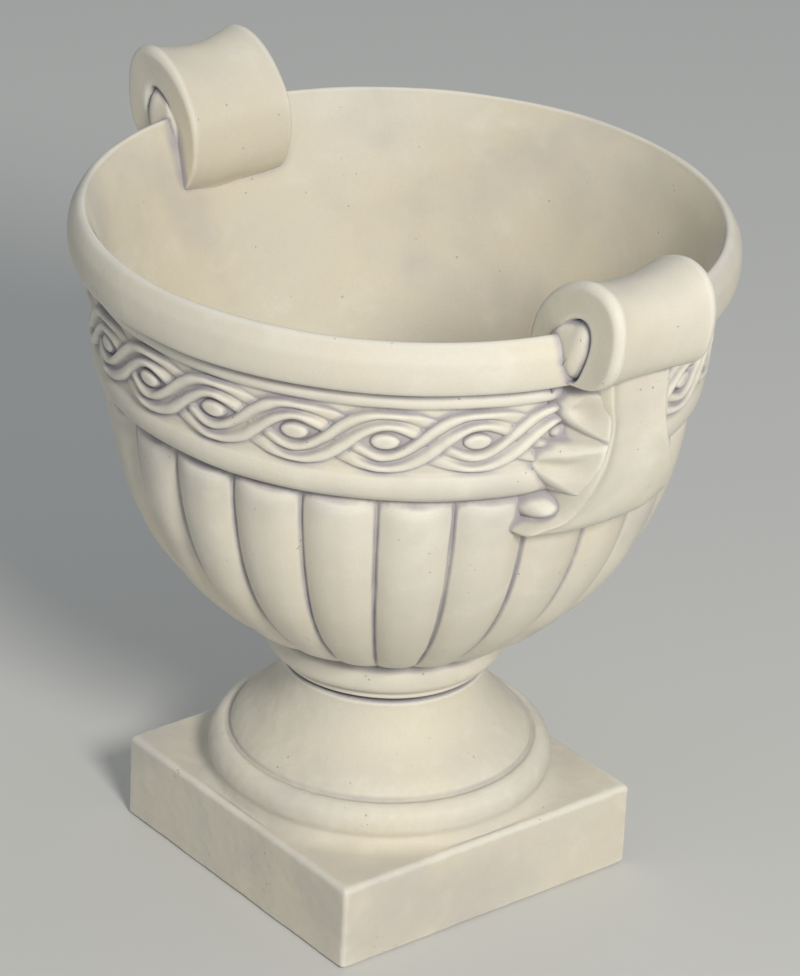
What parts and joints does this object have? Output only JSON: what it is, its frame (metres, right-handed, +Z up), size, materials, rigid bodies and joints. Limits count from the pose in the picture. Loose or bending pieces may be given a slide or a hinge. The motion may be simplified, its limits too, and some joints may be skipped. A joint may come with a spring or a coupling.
{
  "type": "urn planter",
  "caption": "Cast stone garden urn planter: gadrooned bowl with a guilloche frieze, strap handles over the rim with leaves below, on a turned pedestal with a square plinth.",
  "frame": {"origin": "middle of the plinth's underside, on the ground", "axes": "+Z up along the urn's axis of turning, X through the two handles, Y across them; the plinth's sides are square to X and Y"},
  "size_m": [0.4824, 0.4096, 0.484],
  "materials": {
    "bowl_stone": "fine-textured cream cast stone with grey antiquing in the recesses, matt",
    "pedestal_stone": "fine-textured cream cast stone, slightly pitted, matt",
    "mortar": "rough pointed mortar",
    "stainless": "drawn bar",
    "sleeve_plastic": "extruded pipe"
  },
  "bodies": {
    "root": {"pedestal": "pedestal_stone", "bowl": "bowl_stone", "joint_bed": "mortar", "drain_sleeve": "sleeve_plastic", "joint_dowel_1": "stainless", "joint_dowel_2": "stainless", "joint_dowel_3": "stainless", "handle_right": "bowl_stone", "handle_left": "bowl_stone", "handle_bed_right": "mortar", "handle_bed_left": "mortar", "handle_pin_right_1": "stainless", "handle_pin_right_2": "stainless", "handle_pin_left_1": "stainless", "handle_pin_left_2": "stainless", "leaf_right": "bowl_stone", "leaf_left": "bowl_stone", "leaf_bed_right": "mortar", "leaf_bed_left": "mortar", "leaf_pin_right_1": "stainless", "leaf_pin_right_2": "stainless", "leaf_pin_left_1": "stainless", "leaf_pin_left_2": "stainless"}
  },
  "joints": []
}
